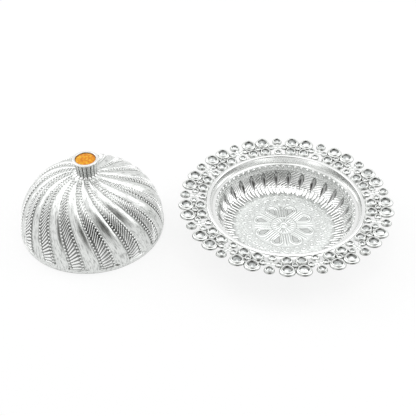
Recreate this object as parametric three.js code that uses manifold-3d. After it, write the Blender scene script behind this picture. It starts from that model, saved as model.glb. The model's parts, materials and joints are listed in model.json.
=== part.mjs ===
// A silver-plated dry fruit box: a round dish with a lace rim set with stones, and its domed lid.
// The lid is off and stands beside the dish. Lengths are millimetres, +Z is up, and the origin is
// the middle of the dish's flat base, on the table.

import * as THREE from "three";
import { mergeVertices } from "three/addons/utils/BufferGeometryUtils.js";
import Module from "manifold-3d";

const wasm = await Module();
wasm.setup();

const turn = 2 * Math.PI;
const degree = Math.PI / 180;

// Gap between pieces that touch, and how far a cut runs past the face that it opens
const gap = 0.3;
const overrun = 1;

// Dish casting: base, bowl, the ledge that the lid sits on, the lip and the shelf under the lace
const castWall = 1.8;
const footRise = 0.4;
const baseSetIn = 1.5;
const bowlDepth = 21.1;
const ledgeWidth = 1.8;
const lipRise = 6;
const lipLean = 1.6;
const lipBeadWidth = 2.2;
const lipBeadDrop = 0.5;
const shelfWidth = 3;
const shelfThickness = 1.3;
const fluteCount = 30;
const fluteStart = 9.5 * degree;
const fluteDepth = 0.95;
const flutePlaceShares = [-0.19, 0, 0.19, 0.5];
const fluteSinkShares = [0, 1, 0, 0];

// Inside of the bowl from the edge of its floor up to the ledge, with how deep its flutes are there
const bowlRadiusShares = [0.755, 0.81, 0.858, 0.905, 0.94, 0.964, 0.98, 1];
const bowlHeightShares = [0.024, 0.07, 0.147, 0.28, 0.43, 0.61, 0.75, 1];
const bowlFluteShares = [0, 0, 0.6, 1, 1, 0.3, 0, 0];

// Lid casting: a swirled dome on a plain border, open below, which stands off to the dish's left
const lidBaseRadius = 60.8;
const lidBellySwell = 0.7;
const lidSeatClearance = 1;
const lidWall = 1.3;
const lidDomeHeight = 57.3;
const lidBorderHeight = 4;
const lidOuterRows = 12;
const lidInnerRows = 6;
const domeExponent = 2.28;
const lidStandGap = 13;
const lidStandAside = 4;

// Swirl: plain lobes between narrow braid bands, which swing round towards the crown
const swirlCount = 15;
const swirlStart = -71.7 * degree;
const swirlTurn = 38 * degree;
const swirlExponent = 1.6;
const lobeDepth = 1.4;
const braidRise = 1;
const reliefFadeExponent = 8;
const crownReliefShare = 0.35;
const braidFootShare = 0.66;
const braidCrownShare = 0.4;
const braidTaperExponent = 3;
const braidPlaceShares = [-0.5, -0.42, -0.3, 0.3, 0.42, 0.5];
const braidRiseShares = [0, 1, 0.6, 0.6, 1, 0];
const lobePlaceShares = [0.25, 0.5, 0.75];
const lobeRiseShares = [0.7, 1, 0.7];

// Finial: a ribbed neck with a cup for the amber stone, held by a screw through the crown
const neckHeight = 14.4;
const neckFootRadius = 8.9;
const neckFlare = 1.1;
const neckFlangeOverhang = 1.5;
const neckFlangeHeight = 1.2;
const neckRimOverhang = 0.6;
const neckRimHeight = 1.6;
const ribCount = 18;
const ribDepth = 0.55;
const cupWall = 2.1;
const cupDepth = 2.3;
const amberGirdle = 1;
const amberCrown = 0.9;
const amberTableShare = 0.55;
const amberSides = 16;
const screwRadius = 1.9;
const screwReach = 8;
const screwHeadOverhang = 1.7;
const screwHeadHeight = 2.2;
const screwHeadTopShare = 0.8;
const screwHeadRimShare = 0.6;
const screwSlotWidth = 1;
const screwSlotDepth = 1;
const screwSides = 16;
const washerOverhang = 2.4;
const washerThickness = 0.8;
const washerSides = 20;

// Lace rim: repeats of a four-petal flower and a cross, made of collets that hold stones
const motifPitch = 40.5;
const flowerStart = -144.2 * degree;
const laceTilt = 5.5 * degree;
const laceDrop = 1.9;
const solderLap = 0.16;
const innerSpreadShare = 1.05;
const crossRowShare = 0.46;
const smallOuterStep = 1.2;
const barWidth = 2.4;
const seatHeight = 0.9;
const colletTopWidth = 0.65;
const stoneGirdleShare = 0.3;
const stonePeakShare = 1.25;

// Collets by size: radius of the foot and of the top, height, and number of sides
const largeOuter = { foot: 6.6, top: 4.95, height: 2.7, sides: 10 };
const largeInner = { foot: 5.4, top: 4.15, height: 2.3, sides: 8 };
const smallOuter = { foot: 4.4, top: 3.4, height: 2.3, sides: 8 };
const smallInner = { foot: 3.6, top: 2.8, height: 2, sides: 6 };
const crossEnd = { foot: 3, top: 2.35, height: 1.9, sides: 6 };
const flowerEye = { foot: 2.9, top: 2.2, height: 1.8, sides: 6 };

const silverPlate = { color: 0xd9dddb, metalness: 0.9, roughness: 0.28 };
const amberGlass = { color: 0xe8951f, metalness: 0, roughness: 0.12 };
const foiledStone = { color: 0xcfd6d8, metalness: 0.2, roughness: 0.08 };
const plainSteel = { color: 0xa9adb0, metalness: 1, roughness: 0.35 };

// Dish radii and heights
const seatRadius = lidBaseRadius + lidSeatClearance;
const ledgeRadius = lidBaseRadius - ledgeWidth;
const floorHeight = castWall + footRise;
const ledgeHeight = floorHeight + bowlDepth;
const lipHeight = ledgeHeight + lipRise;
const lipInnerRadius = seatRadius + lipLean;
const lipOuterRadius = lipInnerRadius + lipBeadWidth;
const shelfRadius = lipOuterRadius + shelfWidth;

// Rows of the lace: each row's collets touch the next, and the flowers fill the way round
const innerRow = lipOuterRadius + gap + cornerReach(largeInner);
const smallInnerRow = lipOuterRadius + gap + cornerReach(smallInner);
const outerRow = innerRow + largeInner.foot + largeOuter.foot - solderLap;
const smallOuterRow = outerRow + smallOuterStep;
const crossRow = THREE.MathUtils.lerp(innerRow, outerRow, crossRowShare);
const motifCount = Math.round((turn * outerRow) / motifPitch);
const motifTurn = turn / motifCount;
const outerHalfTurn = Math.asin((largeOuter.foot - solderLap) / outerRow);
const innerHalfTurn = outerHalfTurn * innerSpreadShare;
const eyeRow = outerRow - Math.sqrt(
  (largeOuter.foot + flowerEye.foot - solderLap) ** 2 - (largeOuter.foot - solderLap) ** 2,
);
const crossReach = largeOuter.foot + crossEnd.foot - solderLap;
const crossTurn = outerHalfTurn + turnBetween(outerRow, crossRow, crossReach);
const laceRadius = outerRow + largeOuter.foot;

// Lid and finial radii and heights
const lidBellyRadius = lidBaseRadius + lidBellySwell;
const neckFlangeRadius = neckFootRadius + neckFlangeOverhang;
const neckHeadRadius = neckFootRadius + neckFlare;
const neckRimRadius = neckHeadRadius + neckRimOverhang;
const cupRadius = neckRimRadius - cupWall;
const crownHeight = domeHeight(lidBellyRadius, lidDomeHeight, neckFlangeRadius);
const crownUnderside = crownHeight - lidWall;
const neckTop = crownHeight + neckHeight;
const cupFloor = neckTop - cupDepth;
const screwHole = screwRadius + gap;
const screwHeadRadius = screwRadius + screwHeadOverhang;
const washerRadius = screwHeadRadius + washerOverhang;

// Radius at the corners of a collet's foot, whose flat sides lie at its foot radius
function cornerReach(size) {
  return size.foot / Math.cos(Math.PI / size.sides);
}

// Turn about the dish between two points on rows of these radii that lie a distance apart
function turnBetween(rowA, rowB, distance) {
  return Math.acos((rowA ** 2 + rowB ** 2 - distance ** 2) / (2 * rowA * rowB));
}

// Height of the lace's underside, which rises outwards
function laceFoot(radius) {
  return lipHeight - laceDrop + Math.tan(laceTilt) * (radius - lipOuterRadius);
}

// Height at a radius of a dome with this belly radius and top
function domeHeight(belly, top, radius) {
  return top * (1 - (radius / belly) ** domeExponent) ** (1 / domeExponent);
}

// Radius of that dome at a height
function domeRadius(belly, top, height) {
  return belly * (1 - (height / top) ** domeExponent) ** (1 / domeExponent);
}

// A solid of revolution about Z, its first corner at +X, from a profile of [radius, height] points;
// bend may move the corner of a row and side to another radius and angle
function revolve(points, sides, bend = (row, side, radius, angle) => [radius, angle]) {
  const profile = points.map(([radius, height]) => new THREE.Vector2(radius, height));
  const shape = new THREE.LatheGeometry(profile, sides);
  const position = shape.attributes.position;
  for (let at = 0; at < position.count; at += 1) {
    const row = at % points.length;
    const side = Math.floor(at / points.length) % sides;
    const straight = (turn * side) / sides;
    const [radius, angle, height = points[row][1]] = bend(row, side, points[row][0], straight);
    position.setXYZ(at, radius * Math.cos(angle), radius * Math.sin(angle), height);
  }
  return toSolid(shape);
}

// The solid of a closed shape, from its positions alone, with shared corners merged
function toSolid(shape) {
  const bare = shape.clone();
  bare.deleteAttribute("normal");
  bare.deleteAttribute("uv");
  const closed = mergeVertices(bare);
  const mesh = new wasm.Mesh({
    numProp: 3,
    vertProperties: new Float32Array(closed.attributes.position.array),
    triVerts: new Uint32Array(closed.index.array),
  });
  return new wasm.Manifold(mesh);
}

function toShape(solid) {
  const mesh = solid.getMesh();
  const shape = new THREE.BufferGeometry();
  shape.setAttribute("position", new THREE.BufferAttribute(new Float32Array(mesh.vertProperties), 3));
  shape.setIndex(new THREE.BufferAttribute(new Uint32Array(mesh.triVerts), 1));
  return shape;
}

function piece(name, solid, look) {
  const mesh = new THREE.Mesh(toShape(solid), new THREE.MeshStandardMaterial(look));
  mesh.name = name;
  return mesh;
}

// The points of a profile that runs up the inside of a wall, moved through the wall's thickness
function stepOut(points, distance) {
  return points.map(([radius, height], at) => {
    const before = points[Math.max(at - 1, 0)];
    const after = points[Math.min(at + 1, points.length - 1)];
    const along = new THREE.Vector2(after[0] - before[0], after[1] - before[1]).normalize();
    return [radius + along.y * distance, height - along.x * distance];
  });
}

// The dish: its wall is fluted inside, its base is flat, and its lip carries a shelf for the lace
function dishBowl() {
  const inside = bowlRadiusShares.map((share, at) => [
    ledgeRadius * share,
    floorHeight + bowlDepth * bowlHeightShares[at],
  ]);
  const outside = stepOut(inside.slice(0, -1), castWall);
  const lip = [
    [seatRadius + castWall, ledgeHeight - castWall],
    [shelfRadius, laceFoot(shelfRadius) - gap - shelfThickness],
    [shelfRadius, laceFoot(shelfRadius) - gap],
    [lipOuterRadius, laceFoot(lipOuterRadius) - gap],
    [lipOuterRadius, lipHeight - lipBeadDrop],
    [(lipInnerRadius + lipOuterRadius) / 2, lipHeight],
    [lipInnerRadius, lipHeight - lipBeadDrop],
    [seatRadius, ledgeHeight],
  ];
  const below = [[0, 0], [inside[0][0] - baseSetIn, 0], ...outside, ...lip];
  const profile = [...below, ...inside.reverse(), [0, floorHeight]];
  const corners = flutePlaceShares.length;
  return revolve(profile, fluteCount * corners, (row, side, radius) => {
    const share = bowlFluteShares[inside.length - 1 - (row - below.length)] ?? 0;
    const step = side % corners;
    const flute = Math.floor(side / corners) + flutePlaceShares[step];
    return [radius + fluteDepth * share * fluteSinkShares[step], fluteStart + (turn / fluteCount) * flute];
  });
}

// A collet: a cup with sloping sides; where its stone isn't a piece of its own, a pyramid fills it
function collet(size, studded) {
  const inside = size.top - colletTopWidth;
  const profile = [
    [0, 0],
    [cornerReach(size), 0],
    [size.top, size.height],
    [inside, size.height],
    [inside, seatHeight],
    [0, studded ? size.height - gap : seatHeight],
  ];
  return revolve(profile, size.sides);
}

function bar(length, width) {
  const shape = new THREE.BoxGeometry(length, width, seatHeight);
  shape.translate(0, 0, seatHeight / 2);
  return toSolid(shape);
}

// Moves a solid out along +X and turns it about the dish
function placed(solid, radius, angle) {
  return solid.translate([radius, 0, 0]).rotate([0, 0, angle / degree]);
}

// The lace: every collet of every motif, joined, then bent up to the rim's slope
function laceRim() {
  const stem = motifTurn / 2;
  const halfGap = stem - crossTurn;
  const motif = [
    placed(collet(flowerEye, true), eyeRow, 0),
    placed(collet(smallOuter, false), smallOuterRow, stem),
    placed(collet(smallInner, true), smallInnerRow, stem),
    placed(bar(smallOuterRow - smallInnerRow, barWidth), (smallOuterRow + smallInnerRow) / 2, stem),
    placed(bar(barWidth, 2 * crossRow * Math.sin(halfGap)), crossRow * Math.cos(halfGap), stem),
  ];
  for (const side of [-1, 1]) {
    motif.push(placed(collet(largeOuter, false), outerRow, side * outerHalfTurn));
    motif.push(placed(collet(largeInner, true), innerRow, side * innerHalfTurn));
    motif.push(placed(collet(crossEnd, true), crossRow, stem + side * halfGap));
  }
  const joined = motif.reduce((whole, next) => whole.add(next));
  let lace = placed(joined, 0, flowerStart);
  for (let count = 1; count < motifCount; count += 1) {
    lace = lace.add(placed(joined, 0, flowerStart + count * motifTurn));
  }
  return lace.warp((corner) => {
    corner[2] += laceFoot(Math.hypot(corner[0], corner[1]));
  });
}

// A pyramid-cut stone that stands on its collet's seat
function rimStone(size) {
  const girdle = size.top - colletTopWidth - gap;
  const rise = size.height - seatHeight - gap;
  const cut = [[0, 0], [girdle, 0], [girdle, rise * stoneGirdleShare], [0, rise * stonePeakShare]];
  return revolve(cut, size.sides);
}

// The outer row's stones, motif by motif
function addRimStones(dish) {
  let count = 0;
  const setStone = (size, radius, angle) => {
    count += 1;
    const stone = piece(`rim_stone_${String(count).padStart(2, "0")}`, rimStone(size), foiledStone);
    stone.position.set(radius, 0, laceFoot(radius) + seatHeight + gap);
    stone.rotation.y = -laceTilt;
    const spoke = new THREE.Group();
    spoke.rotation.z = angle;
    spoke.add(stone);
    dish.add(spoke);
  };
  for (let motif = 0; motif < motifCount; motif += 1) {
    const flower = flowerStart + motif * motifTurn;
    setStone(largeOuter, outerRow, flower - outerHalfTurn);
    setStone(largeOuter, outerRow, flower + outerHalfTurn);
    setStone(smallOuter, smallOuterRow, flower + motifTurn / 2);
  }
}

// Rows of a dome from a height up to the crown, evenly spread by slope
function domeRows(belly, top, low, crown, count) {
  const rows = [];
  for (let at = 0; at < count - 1; at += 1) {
    const rise = Math.sin((Math.PI / 2) * (at / (count - 1)));
    const height = THREE.MathUtils.lerp(low, crown, rise);
    rows.push([domeRadius(belly, top, height), height]);
  }
  rows.push([neckFlangeRadius, crown]);
  return rows;
}

// Which way a dome's surface faces, outward and upward, at a radius and height on it
function domeNormal(belly, top, radius, height) {
  const outward = (radius / belly) ** (domeExponent - 1) / belly;
  const upward = (height / top) ** (domeExponent - 1) / top;
  return new THREE.Vector2(outward, upward).normalize();
}

// The lid: its outside is sunk into the swirl, corner by corner across each repeat
function lidDome() {
  const outer = domeRows(lidBellyRadius, lidDomeHeight, lidBorderHeight, crownHeight, lidOuterRows);
  const inner = domeRows(lidBellyRadius - lobeDepth - lidWall, lidDomeHeight - lidWall, lidBorderHeight,
    crownUnderside, lidInnerRows);
  const edge = [[lidBaseRadius - lidWall, 0], [lidBaseRadius, 0]];
  const hollow = [[0, crownUnderside], ...inner.reverse(), ...edge];
  const profile = [...hollow, ...outer, [0, crownHeight]];
  const rises = [
    ...braidRiseShares.map((rise) => rise * braidRise),
    ...lobeRiseShares.map((rise) => rise * lobeDepth),
  ];
  const corners = rises.length;
  const solid = revolve(profile, swirlCount * corners, (row, side, radius) => {
    const share = (row - hollow.length) / (lidOuterRows - 1);
    const onSwirl = share >= 0 && share <= 1;
    const taper = onSwirl ? (1 - share) ** braidTaperExponent : 1;
    const braid = THREE.MathUtils.lerp(braidCrownShare, braidFootShare, taper);
    const places = [
      ...braidPlaceShares.map((place) => braid * place),
      ...lobePlaceShares.map((place) => braid / 2 + (1 - braid) * place),
    ];
    const step = side % corners;
    const swing = onSwirl ? swirlTurn * share ** swirlExponent : 0;
    const fade = onSwirl ? 1 - Math.abs(2 * share - 1) ** reliefFadeExponent : 0;
    const angle = swirlStart - swing + (turn / swirlCount) * (Math.floor(side / corners) + places[step]);
    const height = profile[row][1];
    const strength = THREE.MathUtils.lerp(crownReliefShare, 1, radius / lidBellyRadius);
    const sunk = fade * strength * (lobeDepth - rises[step]);
    const [outward, upward] = domeNormal(lidBellyRadius, lidDomeHeight, radius, height);
    return [radius - sunk * outward, angle, height - sunk * upward];
  });
  return solid.subtract(rod(screwHole, crownUnderside - overrun, crownHeight + overrun));
}

function rod(radius, low, high) {
  return revolve([[0, low], [radius, low], [radius, high], [0, high]], screwSides);
}

// The finial's ribbed neck, blind bored from below and cupped above
function finialNeck() {
  const flangeTop = crownHeight + neckFlangeHeight;
  const shoulder = neckTop - neckRimHeight;
  const outline = [
    [0, crownHeight],
    [neckFlangeRadius, crownHeight],
    [neckFlangeRadius, flangeTop],
    [neckFootRadius, flangeTop],
    [(neckFootRadius + neckHeadRadius) / 2, (flangeTop + shoulder) / 2],
    [neckHeadRadius, shoulder],
    [neckRimRadius, shoulder],
    [neckRimRadius, neckTop],
    [cupRadius, neckTop],
    [cupRadius, cupFloor],
    [0, cupFloor],
  ];
  const ribbed = outline.slice(3, 6).map(([, height]) => height);
  const solid = revolve(outline, ribCount * 2, (row, side, radius, angle) => {
    const groove = ribbed.includes(outline[row][1]) && radius <= neckHeadRadius && side % 2 === 1;
    return [groove ? radius - ribDepth : radius, angle];
  });
  return solid.subtract(rod(screwHole, crownHeight - overrun, crownHeight + screwReach + gap));
}

function amberStone() {
  const radius = cupRadius - gap;
  const girdle = cupFloor + amberGirdle;
  const table = girdle + amberCrown;
  const back = [[0, cupFloor], [radius, cupFloor], [radius, girdle]];
  return revolve([...back, [radius * amberTableShare, table], [0, table]], amberSides);
}

function finialScrew() {
  const under = crownUnderside - washerThickness;
  const top = crownHeight + screwReach;
  const profile = [
    [0, under - screwHeadHeight],
    [screwHeadRadius * screwHeadTopShare, under - screwHeadHeight],
    [screwHeadRadius, under - screwHeadHeight * screwHeadRimShare],
    [screwHeadRadius, under],
    [screwRadius, under],
    [screwRadius, top],
    [0, top],
  ];
  const slot = new THREE.BoxGeometry(2 * (screwHeadRadius + overrun), screwSlotWidth, 2 * screwSlotDepth);
  slot.translate(0, 0, under - screwHeadHeight);
  return revolve(profile, screwSides).subtract(toSolid(slot));
}

function finialWasher() {
  const bottom = crownUnderside - washerThickness;
  const disc = [[0, bottom], [washerRadius, bottom], [washerRadius, crownUnderside], [0, crownUnderside]];
  return revolve(disc, washerSides).subtract(rod(screwHole, bottom - overrun, crownHeight));
}

const dish = new THREE.Group();
dish.add(piece("dish_bowl", dishBowl(), silverPlate));
dish.add(piece("lace_rim", laceRim(), silverPlate));
addRimStones(dish);

const lid = new THREE.Group();
lid.position.set(-(laceRadius + lidStandGap + lidBellyRadius), lidStandAside, 0);
lid.add(piece("lid_dome", lidDome(), silverPlate));
lid.add(piece("finial_neck", finialNeck(), silverPlate));
lid.add(piece("amber_stone", amberStone(), amberGlass));
lid.add(piece("finial_screw", finialScrew(), plainSteel));
lid.add(piece("finial_washer", finialWasher(), plainSteel));

const dryFruitBox = new THREE.Group();
dryFruitBox.add(dish);
dryFruitBox.add(lid);

export default dryFruitBox;
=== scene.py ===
# %% [markdown]
# # A silver-plated dry fruit box
#
# The real box is two thin castings, plated bright: a dish whose rim is a lace of stone-set rings,
# and a domed lid with an amber stone on its neck. The lid is off and stands beside the dish.
# This lesson dresses a plain working model of the box, which the frame loads, with finer meshes
# and with the finish of each surface.

# %% Load the frame
import json
import math

import bpy
import numpy as np
from mathutils import Matrix, Vector

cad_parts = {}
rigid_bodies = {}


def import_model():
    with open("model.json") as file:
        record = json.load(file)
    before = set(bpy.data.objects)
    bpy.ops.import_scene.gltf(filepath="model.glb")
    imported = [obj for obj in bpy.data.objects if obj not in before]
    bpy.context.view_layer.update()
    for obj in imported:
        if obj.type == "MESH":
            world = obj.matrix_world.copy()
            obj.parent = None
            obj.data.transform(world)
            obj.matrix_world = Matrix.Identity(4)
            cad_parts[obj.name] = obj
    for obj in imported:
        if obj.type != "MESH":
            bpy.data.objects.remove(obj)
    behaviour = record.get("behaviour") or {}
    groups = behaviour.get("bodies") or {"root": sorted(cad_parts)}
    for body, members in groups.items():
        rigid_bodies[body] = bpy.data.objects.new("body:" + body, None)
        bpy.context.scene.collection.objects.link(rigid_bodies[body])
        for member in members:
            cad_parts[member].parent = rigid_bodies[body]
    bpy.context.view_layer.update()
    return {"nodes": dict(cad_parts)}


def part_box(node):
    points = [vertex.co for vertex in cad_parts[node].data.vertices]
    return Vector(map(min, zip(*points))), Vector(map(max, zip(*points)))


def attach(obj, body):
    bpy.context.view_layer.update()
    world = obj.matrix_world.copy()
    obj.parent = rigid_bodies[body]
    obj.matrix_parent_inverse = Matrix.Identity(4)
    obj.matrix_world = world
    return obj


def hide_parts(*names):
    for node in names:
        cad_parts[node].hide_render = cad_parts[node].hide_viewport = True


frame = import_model()

MM = 0.001
TURN = 2 * math.pi
print("frame loaded:", len(frame["nodes"]), "nodes")

# %% [markdown]
# ## Tools for shaping
#
# Every mesh operator acts on what is selected, so each step starts by selecting one piece alone.
# The round castings are made as a turner would: a profile is walked with extrude, point by point,
# and spun round the upright axis through one repeat, which is copied all the way round.

# %% Shaping helpers
def select_alone(piece):
    bpy.ops.object.select_all(action="DESELECT")
    piece.select_set(True)
    bpy.context.view_layer.objects.active = piece


def begin_edit(piece):
    """Opens a piece in edit mode with everything selected."""
    select_alone(piece)
    bpy.ops.object.mode_set(mode="EDIT")
    bpy.ops.mesh.select_mode(type="VERT")
    bpy.ops.mesh.select_all(action="SELECT")


def end_edit():
    bpy.ops.object.mode_set(mode="OBJECT")


def end_closed():
    """Ends the editing of a closed piece, with all of its faces turned outwards."""
    bpy.ops.mesh.select_all(action="SELECT")
    bpy.ops.mesh.normals_make_consistent(inside=False)
    end_edit()


def primitive(name, add, **facts):
    """Adds one of Blender's primitives with nothing else selected, and names it."""
    bpy.ops.object.select_all(action="DESELECT")
    add(**facts)
    piece = bpy.context.object
    piece.name = name
    return piece


def pick_faces(piece, rule):
    """Selects, in edit mode, the faces whose centre and normal meet a rule."""
    end_edit()
    for group in (piece.data.vertices, piece.data.edges):
        group.foreach_set("select", [False] * len(group))
    for face in piece.data.polygons:
        face.select = rule(face.center, face.normal)
    bpy.ops.object.mode_set(mode="EDIT")
    bpy.ops.mesh.select_mode(type="FACE")


def spun_sector(profile, steps, sectors):
    """Walks a profile of [radius, height] in millimetres and spins it through one of the sectors."""
    piece = primitive("sector", bpy.ops.mesh.primitive_plane_add, size=MM)
    begin_edit(piece)
    bpy.ops.mesh.merge(type="CENTER")
    radius, height = profile[0]
    bpy.ops.transform.translate(value=(radius * MM, 0, height * MM))
    for after in profile[1:]:
        step = ((after[0] - radius) * MM, 0, (after[1] - height) * MM)
        bpy.ops.mesh.extrude_region_move(TRANSFORM_OT_translate={"value": step})
        radius, height = after
    bpy.ops.mesh.select_all(action="SELECT")
    bpy.ops.mesh.spin(steps=steps, angle=TURN / sectors, center=(0, 0, 0), axis=(0, 0, 1))
    end_edit()
    return piece


def smooth_run(points, spacing):
    """A smooth run through profile points, in steps of about one spacing."""
    run = []
    padded = [points[0], *points, points[-1]]
    for a, b, c, d in zip(padded, padded[1:], padded[2:], padded[3:]):
        steps = max(1, round(math.dist(b, c) / spacing))
        for at in range(steps):
            t = at / steps
            run.append(tuple(
                0.5 * (2 * q + (r - p) * t + (2 * p - 5 * q + 4 * r - s) * t ** 2
                       + (3 * q - p - 3 * r + s) * t ** 3)
                for p, q, r, s in zip(a, b, c, d)
            ))
    return [*run, points[-1]]


def shade(piece, degrees):
    """Smooth shading, but for edges sharper than this angle."""
    select_alone(piece)
    bpy.ops.object.shade_smooth_by_angle(angle=math.radians(degrees))


print("shaping helpers ready")

# %% [markdown]
# ## Tools for relief and repeats
#
# The castings carry shallow relief. It is sculpted by moving the points of a fine spun mesh: each
# relief is a function of radius, angle and height. Beads, bars, rings and stones repeat, so each is
# modelled once and copied into place, every copy with its own faces.

# %% Relief and repeat helpers
def points_of(piece):
    points = np.empty(len(piece.data.vertices) * 3)
    piece.data.vertices.foreach_get("co", points)
    return points.reshape(-1, 3)


def set_points(piece, points):
    piece.data.vertices.foreach_set("co", points.ravel())
    piece.data.update()


def around(points):
    """Radius and height in millimetres and the angle in degrees of points round the Z axis."""
    radius = np.hypot(points[:, 0], points[:, 1]) / MM
    angle = np.degrees(np.arctan2(points[:, 1], points[:, 0]))
    return radius, angle, points[:, 2] / MM


def emboss(piece, relief):
    """Moves points along their normals by a relief in millimetres."""
    points = points_of(piece)
    normals = np.empty_like(points).ravel()
    piece.data.vertices.foreach_get("normal", normals)
    normals = normals.reshape(-1, 3)
    rise = relief(*around(points), normals)
    set_points(piece, points + normals * rise[:, None] * MM)


def paint_shade(piece, shares):
    """Writes how much dark shade is painted at each point of a piece, from 0 to 1."""
    layer = piece.data.attributes.new("painted_shade", "FLOAT", "POINT")
    layer.data.foreach_set("value", np.clip(shares, 0, 1))


def ridge(distance, width):
    """A rounded ridge, 1 high on its line."""
    return np.exp(-((distance / width) ** 2))


def window(value, low, high, soft):
    """1 between two values, with soft ends."""
    rise = np.clip((value - low) / soft + 0.5, 0, 1)
    fall = np.clip((high - value) / soft + 0.5, 0, 1)
    return rise * fall


def off_centre(angle, first, pitch):
    """Angle from the middle of the nearest of the repeats that start at an angle."""
    return (angle - first + pitch / 2) % pitch - pitch / 2


def copies(name, model, places):
    """One mesh that holds a copy of the model at each place."""
    points = points_of(model)
    faces = [tuple(face.vertices) for face in model.data.polygons]
    smooth = [face.use_smooth for face in model.data.polygons]
    rings = []
    moved = []
    for count, place in enumerate(places):
        matrix = np.array(place)
        moved.append(points @ matrix[:3, :3].T + matrix[:3, 3])
        rings.extend(tuple(at + count * len(points) for at in face) for face in faces)
    mesh = bpy.data.meshes.new(name)
    mesh.from_pydata(np.concatenate(moved).tolist(), [], rings)
    mesh.polygons.foreach_set("use_smooth", smooth * len(places))
    mesh.update()
    piece = bpy.data.objects.new(name, mesh)
    bpy.context.collection.objects.link(piece)
    # Each copy keeps the shade painted on its model.
    if "painted_shade" in model.data.attributes:
        shares = np.empty(len(points))
        model.data.attributes["painted_shade"].data.foreach_get("value", shares)
        paint_shade(piece, np.tile(shares, len(places)))
    return piece


def spun(name, profile, steps, sectors):
    """A turned piece: one sector is spun, and copies of it are set round Z and merged."""
    sector = spun_sector(profile, steps, sectors)
    turns = [Matrix.Rotation(TURN * at / sectors, 4, "Z") for at in range(sectors)]
    piece = copies(name, sector, turns)
    bpy.data.objects.remove(sector)
    begin_edit(piece)
    bpy.ops.mesh.remove_doubles(threshold=0.002 * MM)
    end_closed()
    return piece


def joined(name, pieces):
    """Joins pieces into one mesh with a new name."""
    bpy.ops.object.select_all(action="DESELECT")
    for piece in pieces:
        piece.select_set(True)
    bpy.context.view_layer.objects.active = pieces[0]
    bpy.ops.object.join()
    whole = bpy.context.object
    whole.name = name
    whole.data.name = name
    return whole


def shifted(piece, place):
    """Moves a piece's mesh, so that its object stays at the origin."""
    piece.data.transform(Matrix.Translation(place))
    return piece


def remove(*models):
    for model in models:
        bpy.data.objects.remove(model)


print("relief and repeat helpers ready")

# %% [markdown]
# ## Colours and nodes
#
# Colours are written as the sRGB hex values that one reads off a surface, and one function turns
# them into the linear values that the renderer uses. Small functions add the shader nodes.

# %% Colour and node helpers
def linear(code):
    """Linear RGBA of an sRGB hex value."""
    shares = [int(code[at:at + 2], 16) / 255 for at in (1, 3, 5)]
    return (*(s / 12.92 if s <= 0.04045 else ((s + 0.055) / 1.055) ** 2.4 for s in shares), 1)


def add_node(tree, kind, inputs=None, **settings):
    """Adds a node, with its settings, and sets or links its inputs."""
    new = tree.nodes.new(kind)
    for key, value in settings.items():
        setattr(new, key, value)
    for key, value in (inputs or {}).items():
        if isinstance(value, bpy.types.NodeSocket):
            tree.links.new(value, new.inputs[key])
        else:
            new.inputs[key].default_value = value
    return new


def new_tree(holder):
    holder.use_nodes = True
    holder.node_tree.nodes.clear()
    return holder.node_tree


def new_material(name):
    material = bpy.data.materials.new(name)
    return material, new_tree(material)


def end_material(tree, inputs):
    """Ends a material in Blender's general surface shader."""
    surface = add_node(tree, "ShaderNodeBsdfPrincipled", inputs)
    add_node(tree, "ShaderNodeOutputMaterial", {"Surface": surface.outputs[0]})


def object_place(tree):
    return add_node(tree, "ShaderNodeTexCoord").outputs["Object"]


def calc(tree, operation, *values):
    """The result of one step of arithmetic."""
    return add_node(tree, "ShaderNodeMath", dict(enumerate(values)), operation=operation).outputs[0]


def noise(tree, place, size_mm, detail, roughness=0.5):
    """Soft random values, in lumps of about this size."""
    return add_node(tree, "ShaderNodeTexNoise", {
        "Vector": place, "Scale": 1 / (size_mm * MM), "Detail": detail, "Roughness": roughness,
    }).outputs["Fac"]


def rescaled(tree, value, before, after):
    """Brings a value from one range to another."""
    return add_node(tree, "ShaderNodeMapRange", {
        "Value": value, "From Min": before[0], "From Max": before[1],
        "To Min": after[0], "To Max": after[1],
    }).outputs["Result"]


def ramp(tree, factor, stops):
    """A colour ramp from a factor, with stops of place and linear colour."""
    new = add_node(tree, "ShaderNodeValToRGB", {"Fac": factor})
    elements = new.color_ramp.elements
    while len(elements) < len(stops):
        elements.new(0.5)
    for element, (place, colour) in zip(elements, stops):
        element.position = place
        element.color = colour
    return new.outputs["Color"]


print("white is", linear("#FFFFFF"))

# %% [markdown]
# ## Camera
#
# The photograph looks down on the box at 40.3 degrees with a long lens. The object keeps its own
# frame, with the origin under the dish, so the camera aims at a point between the dish and the lid.

# %% Camera
CAMERA_PITCH = math.radians(40.3)
CAMERA_REACH = 0.7108
CAMERA_AIM = Vector((-0.0652, 0.0258, 0))
SENSOR_WIDTH = 36
LENS = 69.2

camera_turn = (math.pi / 2 - CAMERA_PITCH, 0, 0)
camera_way = Vector((0, -math.cos(CAMERA_PITCH), math.sin(CAMERA_PITCH)))
camera = primitive("photo_camera", bpy.ops.object.camera_add, rotation=camera_turn)
camera.location = CAMERA_AIM + CAMERA_REACH * camera_way
camera.data.sensor_width = SENSOR_WIDTH
camera.data.lens = LENS
bpy.context.scene.camera = camera
bpy.context.scene.view_settings.view_transform = "Standard"
print("camera at", [round(value, 3) for value in camera.location])

# %% [markdown]
# ## Studio
#
# Bright plating shows what stands round it. A white floor and a white room give the pale silver.
# Behind the camera the studio is dark: a hood, which only the metal and glass see, gives the dark
# marks that shape the front of each flute, rib and ring. It fades to white at its edges, so that
# no hard line shows in the plating.

# %% Floor
FLOOR_SIZE = 12
FLOOR_GLOW = 0.78


def glow_for_view(tree, glow, plain):
    """Gives one shader to the camera and to what metal and glass reflect, and another to the rest."""
    path = add_node(tree, "ShaderNodeLightPath").outputs
    first = calc(tree, "MAXIMUM", path["Is Camera Ray"], path["Is Glossy Ray"])
    seen = calc(tree, "MAXIMUM", first, path["Is Transmission Ray"])
    return add_node(tree, "ShaderNodeMixShader", {0: seen, 1: plain, 2: glow}).outputs[0]


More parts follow.
